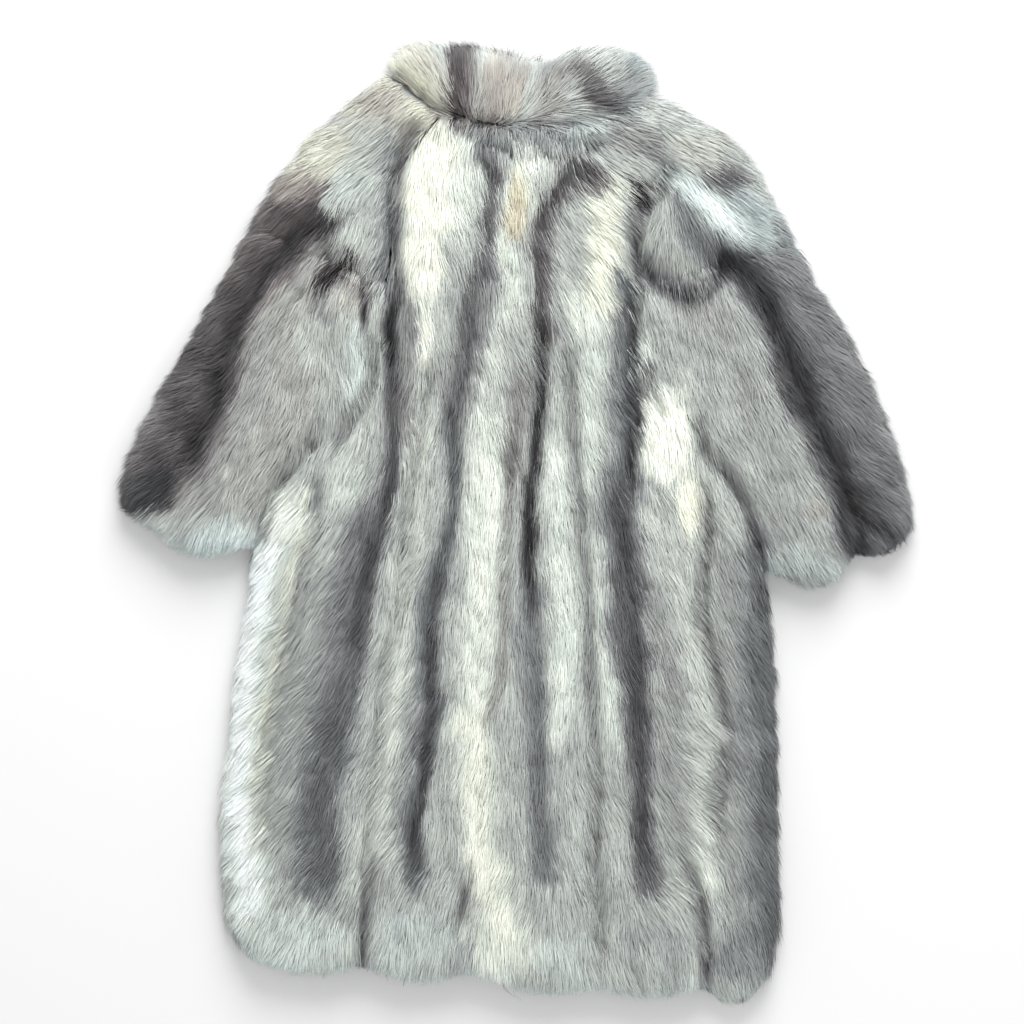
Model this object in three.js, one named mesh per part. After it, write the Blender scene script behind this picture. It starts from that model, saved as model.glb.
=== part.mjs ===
// A long fox fur coat with a stand collar and wide sleeves, lying face down on a flat surface.
// Its back is sewn from six long skins, and each solid reaches from the lining side to the tips of the fur.
// Millimetres. X runs across the coat, Y runs from the hem up to the collar, and Z is up from the surface.
import * as THREE from 'three';

// Driving sizes
const SEAM_GAP = 0.3; // between pieces that are sewn together
const NECK_GAP = 3; // between the neck band and the skins sewn to its curved edge
const LAYER_GAP = 0.5; // between the upper and the under layer
const UNDER_HEIGHT = 16; // the fronts and the sleeve unders, their fur pressed flat by the coat's weight
const BACK_HEIGHT = 54; // crest of a back skin above the surface
const BACK_SEAM_HEIGHT = 46; // where two back skins meet
const SLEEVE_HEIGHT = 60;
const SLEEVE_SEAM_HEIGHT = 44;
const FLANK_HEIGHT = 32; // the body's edge where a sleeve lies against it
const COLLAR_HEIGHT = 66;
const COLLAR_SEAM_HEIGHT = 46;
const BAND_HEIGHT = 43;
const FREE_EDGE_HEIGHT = 17; // middle of a rounded free edge
const RIM = 2; // the upright strip in the middle of a free edge
const TOP_ROUND = 34; // how far a free edge's rounding reaches in over the top
const UNDER_ROUND = 15; // and in under the bottom
const SEAM_ROUND = 24; // how far the fur dips towards a seam
const WRAP = 46; // how far a sleeve's outer strip wraps in under the sleeve
const WRAP_STEP = 1; // width of the step where the wrapped part ends
const POINTED_END = 2; // width of the end of a skin that runs out to a point
const FRONT_SHORTER = 14; // the fronts end this far above the back's hem
const CENTRE_FRONT = 0; // x of the front opening, its edges side by side

// Turns a list of rows into objects whose fields are the column names.
const table = (columns, rows) =>
  rows.map((row) => Object.fromEntries(columns.map((name, i) => [name, row[i]])));

// Edge lines of the six back skins: the body's left edge, the five seams and its right edge at each height y.
// Where a skin has not begun yet, its two lines lie together.
const SEAMS = ['left', 'seam1', 'seam2', 'seam3', 'seam4', 'seam5', 'right'];
const BODY = table(['y', ...SEAMS], [
  [440, -156, -156, -156, -7, 104, 171, 171],
  [403, -156, -156, -156, -8, 101, 165, 165],
  [372, -156, -156, -156, -10, 97, 157, 157],
  [341, -156, -156, -156, -12, 92, 153, 153],
  [301, -158, -158, -150, -18, 80, 151, 151],
  [270, -161, -161, -128, -20, 72, 154, 154],
  [241, -165, -165, -112, -22, 65, 162, 162],
  [203, -170, -170, -111, -28, 60, 182, 182],
  [168, -178, -178, -114, -35, 58, 199, 199],
  [141, -201, -201, -120, -40, 58, 211, 211],
  [116, -229, -229, -125, -45, 58, 221, 229],
  [93, -258, -258, -130, -49, 58, 230, 244],
  [67, -286, -279, -134, -51, 59, 234, 261],
  [34, -306, -279, -138, -53, 63, 235, 280],
  [0, -316, -283, -141, -53, 65, 234, 294],
  [-28, -324, -288, -144, -51, 68, 233, 303],
  [-62, -328, -294, -146, -50, 71, 231, 310],
  [-97, -330, -298, -149, -49, 75, 230, 315],
  [-147, -341, -295, -156, -46, 84, 236, 319],
  [-197, -350, -288, -164, -44, 91, 249, 321],
  [-247, -352, -292, -170, -40, 96, 254, 323],
  [-297, -360, -309, -176, -39, 99, 255, 324],
  [-347, -366, -322, -181, -41, 100, 249, 325],
  [-397, -366, -325, -185, -48, 99, 233, 326],
  [-447, -365, -322, -188, -53, 98, 226, 327],
  [-497, -361, -328, -189, -58, 103, 233, 329],
]);
const NECK_ENDS = { left: -92, seam1: -92, seam2: -92, seam3: -6, seam4: 108, seam5: 158, right: 158 };
const HEM_ENDS = { left: -346, seam1: -328, seam2: -188, seam3: -55, seam4: 101, seam5: 235, right: 321 };
const NECK_ROWS = [0, 0.12, 0.35, 0.68]; // shares of the way from the neck line to the first row of BODY
const HEM_ROWS = [0.3, 0.58, 0.8, 0.94, 1]; // and from its last row to the hem

// The hem of each skin is a lobe: its height at the left seam, in the middle and at the right seam.
const HEM = table(['left', 'middle', 'right'], [
  [-524, -539, -545],
  [-545, -563, -553],
  [-553, -574, -558],
  [-558, -588, -581],
  [-581, -592, -581],
  [-581, -597, -560],
]);

// The line where the collar is sewn on, and the upper ends of the skins, with the neck band between them.
const NECK = table(['x', 'collar', 'skins'], [
  [-92, 515, 515],
  [-60, 502, 494],
  [-20, 496, 474],
  [30, 492, 467],
  [75, 494, 469],
  [110, 503, 484],
  [135, 515, 506],
  [158, 532, 532],
]);
const BAND_ENDS = [-84, 150]; // x where the neck band runs out to a point

// Each sleeve's outer edge, row by row: y is where the row meets the body, and groove is the share of the row
// that the outer strip takes.
const SLEEVE_COLUMNS = ['y', 'outerX', 'outerY', 'groove'];
const LEFT_OUTER = table(SLEEVE_COLUMNS, [
  [440, -252, 488, 0.6],
  [403, -272, 463, 0.6],
  [372, -290, 440, 0.59],
  [341, -305, 416, 0.58],
  [301, -326, 378, 0.57],
  [270, -342, 349, 0.52],
  [241, -357, 320, 0.46],
  [203, -379, 279, 0.39],
  [168, -402, 236, 0.35],
  [141, -420, 205, 0.34],
  [116, -436, 177, 0.35],
  [93, -450, 151, 0.37],
  [67, -465, 122, 0.39],
  [34, -481, 90, 0.41],
  [0, -492, 59, 0.41],
]);
const RIGHT_OUTER = table(SLEEVE_COLUMNS, [
  [440, 274, 478, 0.46],
  [403, 295, 447, 0.46],
  [372, 310, 420, 0.46],
  [341, 325, 391, 0.46],
  [301, 343, 354, 0.455],
  [270, 358, 327, 0.44],
  [241, 376, 297, 0.42],
  [203, 399, 260, 0.39],
  [168, 419, 224, 0.38],
  [141, 433, 194, 0.39],
  [116, 446, 163, 0.4],
  [93, 458, 135, 0.41],
  [67, 469, 106, 0.415],
  [34, 481, 72, 0.415],
  [0, 490, 38, 0.4],
  [-28, 495, 10, 0.385],
]);
const CAP_ENDS_AT = 301; // the row of BODY where a sleeve's cap meets its two strips
const CUFF_ROWS = [0.35, 0.65, 0.87, 1]; // shares of the way from a sleeve's last row to its cuff

// Each sleeve's corner at the collar, the cuff's three corners, and how far its two lobes bulge past them.
const SLEEVES = {
  left: {
    outerEdge: LEFT_OUTER, collar: [-160, 566], outer: [-493, 30], groove: [-449, -10], inner: [-327, -24],
    outerLobe: 8, innerLobe: 26,
  },
  right: {
    outerEdge: RIGHT_OUTER, collar: [184, 533], outer: [492, -12], groove: [425, -37], inner: [312, -51],
    outerLobe: 12, innerLobe: 36,
  },
};

// The collar, from its left end to its right end: its sewn edge and its free edge.
const COLLAR = table(['lowX', 'lowY', 'highX', 'highY'], [
  [-158, 568, -160, 579],
  [-124, 540, -137, 591],
  [-92, 515, -108, 596],
  [-60, 502, -72, 592],
  [-20, 496, -25, 585],
  [30, 492, 33, 574],
  [75, 494, 74, 584],
  [110, 503, 110, 592],
  [135, 515, 142, 587],
  [160, 534, 174, 561],
]);
const COLLAR_CENTRE = 5; // the row of COLLAR where its halves meet

// The largest folds: soft troughs along a line of points, with a depth and a half width.
const FOLDS = table(['depth', 'half', 'points'], [
  [7, 17, [[-36, 441], [-32, 381], [-58, 293], [-62, 227], [-72, 166], [-95, 91], [-108, -47]]],
  [5, 18, [[-108, -47], [-108, -159], [-112, -250], [-122, -380]]],
  [9, 16, [[44, 403], [25, 362], [22, 263], [16, 178], [12, 80]]],
  [5, 18, [[12, 80], [18, -60], [30, -200], [36, -430]]],
  [9, 14, [[148, 215], [146, 120], [140, 20], [122, -60]]],
  [5, 18, [[150, -110], [155, -250], [155, -430]]],
  [7, 16, [[-164, 153], [-170, 91], [-180, -34], [-205, -159], [-226, -297], [-236, -430]]],
]);
// Round lobes of fur where a sleeve bunches at the armhole. Each has a flat middle and falls off around it.
const MOUNDS = table(['x', 'y', 'radius', 'rise'], [
  [205, 359, 56, 11],
  [-206, 280, 40, 9],
  [-262, 420, 62, 5],
  [262, 420, 52, 4],
]);
const MOUND_MIDDLE = 0.55; // share of the radius where a lobe has its full height

const mix = THREE.MathUtils.lerp;
const point = (x, y) => new THREE.Vector2(x, y);
const between = (a, b, share) => a.clone().lerp(b, share);
const line = (a, b) => (share) => between(a, b, share);

// Rises from 0 at an edge to 1 at a distance of reach from it, as a quarter of an ellipse.
function roundOff(distance, reach) {
  const inwards = THREE.MathUtils.clamp(distance / reach, 0, 1);
  return Math.sqrt(1 - (1 - inwards) ** 2);
}

// The height of one of the neck's two lines at x, on straight lines between the rows of NECK.
function neckLine(column, x) {
  const above = NECK.findIndex((row) => row.x > x);
  const next = above < 0 ? NECK.length - 1 : Math.max(above, 1);
  const [from, to] = [NECK[next - 1], NECK[next]];
  return mix(from[column], to[column], (x - from.x) / (to.x - from.x));
}

function distanceToPath(at, points) {
  const target = new THREE.Vector3(at.x, at.y, 0);
  const foot = new THREE.Vector3();
  const distances = points.slice(1).map((end, i) => {
    const segment = new THREE.Line3(new THREE.Vector3(...points[i], 0), new THREE.Vector3(...end, 0));
    return segment.closestPointToPoint(target, true, foot).distanceTo(target);
  });
  return Math.min(...distances);
}

// How much the folds and lobes lower or raise the fur at a point.
function relief(at) {
  const bell = (distance, half) => Math.exp(-((distance / half) ** 2));
  const troughs = FOLDS.map((fold) => fold.depth * bell(distanceToPath(at, fold.points), fold.half));
  const lobes = MOUNDS.map((m) => {
    const reach = at.distanceTo(point(m.x, m.y)) / m.radius;
    return m.rise * (1 - THREE.MathUtils.smoothstep(reach, MOUND_MIDDLE, 1));
  });
  return Math.max(...lobes) - Math.max(...troughs);
}

// The closed solid between a top grid and an under grid, which have the same number of rows.
function closedWall(topGrid, underGrid) {
  const points = [];
  const numbered = (grid) => grid.map((row) => row.map((p) => points.push(p) - 1));
  const top = numbered(topGrid);
  const under = numbered(underGrid);
  const faces = [];
  const quad = (a, b, c, d) => faces.push([a, b, c], [a, c, d]);
  const lastRow = top.length - 1;
  const lastTop = top[0].length - 1;
  const lastUnder = under[0].length - 1;
  for (let r = 0; r < lastRow; r++) {
    for (let c = 0; c < lastTop; c++) {
      quad(top[r][c], top[r + 1][c], top[r + 1][c + 1], top[r][c + 1]);
    }
    for (let c = 0; c < lastUnder; c++) {
      quad(under[r][c], under[r][c + 1], under[r + 1][c + 1], under[r + 1][c]);
    }
    quad(top[r + 1][0], top[r][0], under[r][0], under[r + 1][0]);
    quad(top[r][lastTop], top[r + 1][lastTop], under[r + 1][lastUnder], under[r][lastUnder]);
  }
  // Each end is a strip of triangles that steps along the top and the under row in turn.
  for (const r of [0, lastRow]) {
    const strip = [];
    let c = 0;
    let d = 0;
    while (c < lastTop || d < lastUnder) {
      const alongTop = d === lastUnder || (c < lastTop && (c + 1) / lastTop <= (d + 1) / lastUnder);
      const next = alongTop ? top[r][c + 1] : under[r][d + 1];
      strip.push([top[r][c], next, under[r][d]]);
      if (alongTop) c++;
      else d++;
    }
    faces.push(...strip.map((face) => (r === 0 ? face : face.reverse())));
  }
  const volume = faces.reduce((sum, [a, b, c]) =>
    sum + points[a].dot(new THREE.Vector3().crossVectors(points[b], points[c])), 0);
  if (volume < 0) faces.forEach((face) => face.reverse());
  const geometry = new THREE.BufferGeometry().setFromPoints(points);
  geometry.setIndex(faces.flat());
  geometry.computeVertexNormals();
  return geometry;
}

// The rows of a panel without half a seam's gap at each end.
function trimmed(rows) {
  const pulled = (row, next) => {
    const step = SEAM_GAP / 2 / row(0.5).distanceTo(next(0.5));
    return (share) => between(row(share), next(share), step);
  };
  return rows.map((row, r) => {
    if (r === 0) return pulled(row, rows[1]);
    return r === rows.length - 1 ? pulled(row, rows[r - 1]) : row;
  });
}

const rowWidth = (row) => row(0).distanceTo(row(1));
const wrapShare = (width) => Math.min(WRAP / width, 0.8);

// Where the underside needs points across a row, each with the least height there. A wrapped panel lies on
// the surface near its outer edge, and steps up over the under panel beyond that.
function underColumns(width, edges, wrapped) {
  const round = Math.min(UNDER_ROUND / width, 0.3);
  if (wrapped) {
    const raised = UNDER_HEIGHT + LAYER_GAP;
    const turn = wrapShare(width);
    return [[0, 0], [round * 0.4, 0], [round, 0], [turn, 0], [turn + WRAP_STEP / width, raised], [1, raised]];
  }
  const shares = edges.a.bottom > 0 || edges.b.bottom > 0
    ? [0, round * 0.4, round, 0.38, 0.62, 1 - round, 1 - round * 0.4, 1]
    : [0, 0.2, 0.4, 0.6, 0.8, 1];
  return shares.map((share) => [share, 0]);
}

// One fur panel. rows is a list of functions from a share of the width to a point. An edge is { top, bottom,
// reach }: the wall's heights at that edge, and how far in the top takes to reach its full height. The edges
// are a and b along the rows' ends, and start and end along the first and last row. edgesAt may change a and
// b by row. A buried panel has none of the folds.
function panel(options) {
  const { rows, columns, height, floor, edges } = options;
  const { edgesAt = () => edges, wrapped = false, buried = false } = options;
  const kept = trimmed(rows);
  const distanceBetween = (r, share) => kept[r](share).distanceTo(kept[r + 1](share));
  const run = (from, to, share) => {
    let sum = 0;
    for (let r = from; r < to; r++) sum += distanceBetween(r, share);
    return sum;
  };
  const heights = (p, r, share) => {
    const width = rowWidth(kept[r]);
    const { a, b } = { ...edges, ...edgesAt(r) };
    const near = [
      [a, share * width],
      [b, (1 - share) * width],
      [edges.start, run(0, r, share)],
      [edges.end, run(r, kept.length - 1, share)],
    ];
    const full = buried ? height : height + relief(p);
    const drops = near.map(([edge, distance]) => (full - edge.top) * (1 - roundOff(distance, edge.reach)));
    const lifts = near.map(([edge, distance]) => edge.bottom * (1 - roundOff(distance, UNDER_ROUND)));
    return { top: full - Math.max(...drops), bottom: Math.max(floor, ...lifts) };
  };
  const place = (r, share) => {
    const inset = SEAM_GAP / 2 / rowWidth(kept[r]);
    return kept[r](mix(inset, 1 - inset, share));
  };
  // Columns crowd towards both edges, where the fur rounds off.
  const spread = (u) => mix(u, (1 - Math.cos(Math.PI * u)) / 2, 0.7);
  const top = kept.map((_, r) => Array.from({ length: columns + 1 }, (_, c) => {
    const share = spread(c / columns);
    const p = place(r, share);
    return new THREE.Vector3(p.x, p.y, heights(p, r, share).top);
  }));
  const under = kept.map((row, r) => underColumns(rowWidth(row), edges, wrapped).map(([share, least]) => {
    const p = place(r, share);
    return new THREE.Vector3(p.x, p.y, Math.max(heights(p, r, share).bottom, least));
  }));
  return closedWall(top, under);
}

// Kinds of edge
const RAISED = UNDER_HEIGHT + LAYER_GAP;
const free = (bottom) => ({ top: bottom + RIM, bottom, reach: TOP_ROUND });
const seam = (top) => ({ top, bottom: 0, reach: SEAM_ROUND });
const FREE = free(FREE_EDGE_HEIGHT - RIM / 2);
const UPPER_FREE = free(RAISED + 3);
const UNDER_FREE = { ...free((UNDER_HEIGHT - RIM) / 2), reach: UNDER_ROUND };
const UNDER_SEAM = seam(UNDER_HEIGHT);
const BACK_SEAM = seam(BACK_SEAM_HEIGHT);
const SLEEVE_SEAM = seam(SLEEVE_SEAM_HEIGHT);
const COLLAR_SEAM = seam(COLLAR_SEAM_HEIGHT);
const FLANK = seam(FLANK_HEIGHT);

// The body's rows, from the neck to the hem. point(k, share) is a point of skin k on that row.
function bodyRows() {
  const first = BODY[0];
  const last = BODY.at(-1);
  const across = (row, k, share) => mix(row[SEAMS[k]], row[SEAMS[k + 1]], share);
  const hemY = ({ left, middle, right }, share) =>
    mix(left, right, share) + (middle - (left + right) / 2) * Math.sin(Math.PI * share);
  const neck = NECK_ROWS.map((f) => (k, share) => {
    const x = across(NECK_ENDS, k, share);
    return point(mix(x, across(first, k, share), f), mix(neckLine('skins', x) - NECK_GAP, first.y, f));
  });
  const middle = BODY.map((row) => (k, share) => point(across(row, k, share), row.y));
  const hem = HEM_ROWS.map((f) => (k, share) =>
    point(mix(across(last, k, share), across(HEM_ENDS, k, share), f), mix(last.y, hemY(HEM[k], share), f)));
  return [...neck, ...middle, ...hem];
}

const ROWS = bodyRows();
const LAST = SEAMS.length - 2; // number of the rightmost skin
const leftEdge = (row) => row(0, 0);
const rightEdge = (row) => row(LAST, 1);

// What a skin's edge meets at a row: the next skin, a sleeve, or nothing.
function meets(row, k, share) {
  const NEAR = 0.5;
  const at = row(k, share);
  const onLeft = at.distanceTo(leftEdge(row)) < NEAR;
  const onRight = at.distanceTo(rightEdge(row)) < NEAR;
  if (!onLeft && !onRight) return BACK_SEAM;
  return at.y < (onLeft ? LEFT_OUTER : RIGHT_OUTER).at(-1).y ? FREE : FLANK;
}

// Skin k of the back, from the neck or from a point beside a sleeve, to its lobe at the hem.
function backSkin(k) {
  const width = (row) => row(k, 0).distanceTo(row(k, 1));
  const first = ROWS.findIndex((row) => width(row) > POINTED_END);
  const tip = (_, share) =>
    between(ROWS[first - 1](k, share), ROWS[first](k, share), POINTED_END / width(ROWS[first]));
  const bodyPart = first === 0 ? ROWS : [tip, ...ROWS.slice(first)];
  const onSurface = k === 0 || k === LAST;
  return panel({
    rows: bodyPart.map((row) => (share) => row(k, share)),
    columns: 8,
    height: BACK_HEIGHT,
    floor: onSurface ? 0 : RAISED,
    edges: {
      a: k === 0 ? FREE : BACK_SEAM,
      b: k === LAST ? FREE : BACK_SEAM,
      start: first === 0 ? BACK_SEAM : FLANK,
      end: onSurface ? FREE : UPPER_FREE,
    },
    edgesAt: (r) => {
      const row = bodyPart[r] === tip ? ROWS[first] : bodyPart[r];
      return { a: meets(row, k, 0), b: meets(row, k, 1) };
    },
  });
}

// A front lies under the back, from its side edge to the centre front.
function front(side) {
  const isLeft = side === 'left';
  const [edgeSkin, edgeShare] = isLeft ? [1, 0] : [LAST - 1, 1];
  const centreSkin = 3;
  const rows = ROWS.slice(1).map((row) => {
    const outer = row(edgeSkin, edgeShare);
    return [outer, point(CENTRE_FRONT, row(centreSkin, 0.5).y)];
  });
  const inwards = isLeft ? 1 : -1;
  const lifted = rows.map(([outer, inner], r) => {
    const f = HEM_ROWS[r - (rows.length - HEM_ROWS.length)] ?? 0;
    const up = FRONT_SHORTER * f;
    return [point(outer.x + inwards * f, outer.y + up), point(inner.x, inner.y + up)];
  });
  return panel({
    rows: lifted.map(([outer, inner]) => (isLeft ? line(outer, inner) : line(inner, outer))),
    columns: 3,
    height: UNDER_HEIGHT,
    floor: 0,
    buried: true,
    edges: { a: UNDER_SEAM, b: UNDER_SEAM, start: UNDER_SEAM, end: UNDER_FREE },
  });
}

// A sleeve's rows from the collar down to where its cuff begins, as [outer point, body point, share of the
// outer strip].
function sleeveRows(side) {
  const sleeve = SLEEVES[side];
  const bodyEdge = side === 'left' ? leftEdge : rightEdge;
  const firstOuter = point(sleeve.outerEdge[0].outerX, sleeve.outerEdge[0].outerY);
  const shoulder = NECK_ROWS.map((f, i) =>
    [between(point(...sleeve.collar), firstOuter, f), bodyEdge(ROWS[i]), sleeve.outerEdge[0].groove]);
  const arm = sleeve.outerEdge.map((row, i) =>
    [point(row.outerX, row.outerY), bodyEdge(ROWS[NECK_ROWS.length + i]), row.groove]);
  return { shoulder, arm };
}

// The rows of a cuff lobe: from the row last to the line between two corners, bulging towards the cuff.
function lobeRows(last, from, to, bulge) {
  const target = line(point(...from), point(...to));
  const outwards = target(0.5).sub(last(0.5)).normalize();
  return CUFF_ROWS.map((f) => (share) => {
    const push = bulge * f * f * Math.sin(Math.PI * share);
    return between(last(share), target(share), f).addScaledVector(outwards, push);
  });
}

// The four panels of a sleeve. The cap goes from the collar to the upper arm, the two strips from there to
// the cuff, and the under panel lies beneath them all.
function sleevePanels(side) {
  const sleeve = SLEEVES[side];
  const { shoulder, arm } = sleeveRows(side);
  const all = [...shoulder, ...arm];
  const capEnd = shoulder.length + sleeve.outerEdge.findIndex((row) => row.y === CAP_ENDS_AT);
  const whole = ([outer, inner]) => line(outer, inner);
  const grooveAt = ([outer, inner, groove]) => between(outer, inner, groove);
  const strips = all.slice(capEnd);
  const outerRows = strips.map((row) => line(row[0], grooveAt(row)));
  const innerRows = strips.map((row) => line(grooveAt(row), row[1]));
  const cuffOuter = lobeRows(outerRows.at(-1), sleeve.outer, sleeve.groove, sleeve.outerLobe);
  const cuffInner = lobeRows(innerRows.at(-1), sleeve.groove, sleeve.inner, sleeve.innerLobe);
  const underEdge = (row, width) => row(wrapShare(width) + (WRAP_STEP + SEAM_GAP) / width);
  const underRows = [
    ...all.slice(1).map((row, i) => {
      const inStrips = i + 1 > capEnd;
      const strip = inStrips ? line(row[0], grooveAt(row)) : whole(row);
      return line(underEdge(strip, rowWidth(strip)), row[1]);
    }),
    ...CUFF_ROWS.slice(0, -1).map((_, i) =>
      line(underEdge(cuffOuter[i], rowWidth(cuffOuter[i])), cuffInner[i](1))),
  ];
  const parts = {
    cap: panel({
      rows: all.slice(0, capEnd + 1).map(whole), columns: 10, height: SLEEVE_HEIGHT, floor: 0, wrapped: true,
      edges: { a: FREE, b: SLEEVE_SEAM, start: COLLAR_SEAM, end: SLEEVE_SEAM },
    }),
    outer: panel({
      rows: [...outerRows, ...cuffOuter], columns: 7, height: SLEEVE_HEIGHT, floor: 0, wrapped: true,
      edges: { a: FREE, b: SLEEVE_SEAM, start: SLEEVE_SEAM, end: FREE },
    }),
    inner: panel({
      rows: [...innerRows, ...cuffInner], columns: 8, height: SLEEVE_HEIGHT, floor: RAISED,
      edges: { a: SLEEVE_SEAM, b: SLEEVE_SEAM, start: SLEEVE_SEAM, end: UPPER_FREE },
    }),
    under: panel({
      rows: underRows, columns: 3, height: UNDER_HEIGHT, floor: 0, buried: true,
      edges: { a: UNDER_SEAM, b: UNDER_SEAM, start: UNDER_SEAM, end: UNDER_FREE },
    }),
  };
  return Object.entries(parts).map(([name, geometry]) => [`sleeve_${side}_${name}`, geometry]);
}

// Half of the stand collar, from one of its ends to the centre back seam. It is folded flat with the coat.
function collarHalf(side) {
  const isLeft = side === 'left';
  const part = isLeft ? COLLAR.slice(0, COLLAR_CENTRE + 1) : COLLAR.slice(COLLAR_CENTRE);
  const rows = part.map((row) => line(point(row.lowX, row.lowY), point(row.highX, row.highY)));
  return panel({
    rows,
    columns: 8,
    height: COLLAR_HEIGHT,
    floor: 0,
    edges: {
      a: COLLAR_SEAM, b: FREE,
      start: isLeft ? FREE : seam(COLLAR_HEIGHT - 10),
      end: isLeft ? seam(COLLAR_HEIGHT - 10) : FREE,
    },
  });
}

// The narrow crescent between the collar and the upper ends of the skins.
function neckBand() {
  const [start, end] = BAND_ENDS;
  const stations = [start, ...NECK.map((row) => row.x).filter((x) => x > start && x < end), end];
  return panel({
    rows: stations.map((x) => line(point(x, neckLine('skins', x)), point(x, neckLine('collar', x)))),
    columns: 3,
    height: BAND_HEIGHT,
    floor: RAISED,
    edges: { a: BACK_SEAM, b: BACK_SEAM, start: BACK_SEAM, end: BACK_SEAM },
  });
}

const COLOURS = { back: 0xb9bab6, collar: 0x9a8f87, sleeve: 0xc6cac8, under: 0xa9aaa6 };
const coat = new THREE.Group();

function add(name, geometry, color) {
  const material = new THREE.MeshStandardMaterial({ color, roughness: 0.9, metalness: 0 });
  const mesh = new THREE.Mesh(geometry, material);
  mesh.name = name;
  coat.add(mesh);
}

for (let k = 0; k <= LAST; k++) add(`back_skin_${k + 1}`, backSkin(k), COLOURS.back);
for (const side of ['left', 'right']) {
  add(`front_${side}`, front(side), COLOURS.under);
  add(`collar_${side}`, collarHalf(side), COLOURS.collar);
  for (const [name, geometry] of sleevePanels(side)) {
    add(name, geometry, name.endsWith('under') ? COLOURS.under : COLOURS.sleeve);
  }
}
add('neck_band', neckBand(), COLOURS.back);

export default coat;
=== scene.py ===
# %% [markdown]
# # A long fox fur coat, lying face down
#
# The real coat is sewn from long pelts, with their hair on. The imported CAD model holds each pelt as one
# solid, from the lining side to the tips of the hair. Here every solid is replaced by two things: a thinner
# pelt of the same form, and the hair that grows on it. All lengths are in metres.

# %% Load the frame
import math

import bpy
import numpy as np
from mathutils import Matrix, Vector
from mathutils.bvhtree import BVHTree


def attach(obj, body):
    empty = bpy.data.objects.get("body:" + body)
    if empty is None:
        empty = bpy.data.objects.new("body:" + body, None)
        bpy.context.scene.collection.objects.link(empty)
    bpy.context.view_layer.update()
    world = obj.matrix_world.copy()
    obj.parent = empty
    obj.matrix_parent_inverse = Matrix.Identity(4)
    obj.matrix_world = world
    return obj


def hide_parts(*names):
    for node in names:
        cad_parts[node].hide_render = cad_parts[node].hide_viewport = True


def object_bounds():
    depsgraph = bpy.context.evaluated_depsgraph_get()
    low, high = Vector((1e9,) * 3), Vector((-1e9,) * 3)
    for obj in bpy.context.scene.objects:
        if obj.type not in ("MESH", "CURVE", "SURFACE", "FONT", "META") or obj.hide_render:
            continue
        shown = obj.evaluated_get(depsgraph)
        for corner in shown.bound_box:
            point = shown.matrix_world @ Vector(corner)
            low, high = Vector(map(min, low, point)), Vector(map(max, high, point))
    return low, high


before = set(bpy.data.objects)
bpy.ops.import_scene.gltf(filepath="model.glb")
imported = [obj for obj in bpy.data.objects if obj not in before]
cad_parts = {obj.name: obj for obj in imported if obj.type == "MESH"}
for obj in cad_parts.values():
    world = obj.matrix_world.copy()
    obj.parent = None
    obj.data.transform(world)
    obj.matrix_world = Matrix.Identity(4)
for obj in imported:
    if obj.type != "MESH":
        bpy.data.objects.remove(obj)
CAD_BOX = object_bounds()
print("CAD box", [[round(v, 4) for v in corner] for corner in CAD_BOX])

# %% [markdown]
# ## Shader maths as Python
#
# A material is a sum of masks. Writing each Math node by hand hides that, so a small class wraps a socket and
# lets Python's own signs add the nodes.


# %% A socket that can be added and multiplied
class Wire:
    """One output of a node, with Python's signs for Math nodes."""

    def __init__(self, tree, socket):
        self.tree = tree
        self.socket = socket

    def math(self, operation, *values):
        return add_node(self.tree, "ShaderNodeMath", {"operation": operation}, dict(enumerate(values)))

    def __add__(self, other):
        return self.math("ADD", self, other)

    def __sub__(self, other):
        return self.math("SUBTRACT", self, other)

    def __rsub__(self, other):
        return self.math("SUBTRACT", other, self)

    def __mul__(self, other):
        return self.math("MULTIPLY", self, other)

    __radd__ = __add__
    __rmul__ = __mul__

    def clamped(self):
        return self.math("MINIMUM", self.math("MAXIMUM", self, 0.0), 1.0)


def add_node(tree, kind, settings=None, inputs=None, output=0):
    """Adds a node, sets its settings, then its sockets, and returns one of its outputs."""
    node = tree.nodes.new(kind)
    for name, value in (settings or {}).items():
        if name == "stops":
            ramp = node.color_ramp
            while len(ramp.elements) < len(value):
                ramp.elements.new(0.5)
            for element, (place, colour) in zip(ramp.elements, value):
                element.position = place
                element.color = colour
        else:
            setattr(node, name, value)
    for name, value in (inputs or {}).items():
        socket = node.inputs[name]
        if isinstance(value, Wire):
            tree.links.new(value.socket, socket)
        else:
            socket.default_value = value
    return Wire(tree, node.outputs[output])


def linear(r, g, b):
    """A colour as the eye reads it, from 0 to 255, in the renderer's own scale."""
    shares = [v / 255 for v in (r, g, b)]
    return tuple(v / 12.92 if v <= 0.04 else ((v + 0.055) / 1.055) ** 2.4 for v in shares) + (1.0,)


# %% [markdown]
# ## Hair and pelt
#
# Fox hair is grey because light and dark bands alternate along each hair, and because pale hairs stand among
# dark ones. So the material reads four numbers from each hair: its tone, how warm it is, its own random
# number, and how far along the hair a point is. The hair is matt, with a weak sheen and no mirror-like spot.

# %% One maker for all materials
def new_material(name, surface):
    """A material whose shader has the given values, with its node tree and its shader."""
    material = bpy.data.materials.new(name)
    material.use_nodes = True
    shader = material.node_tree.nodes["Principled BSDF"]
    for socket, value in surface.items():
        shader.inputs[socket].default_value = value
    return material, material.node_tree, shader


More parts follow.
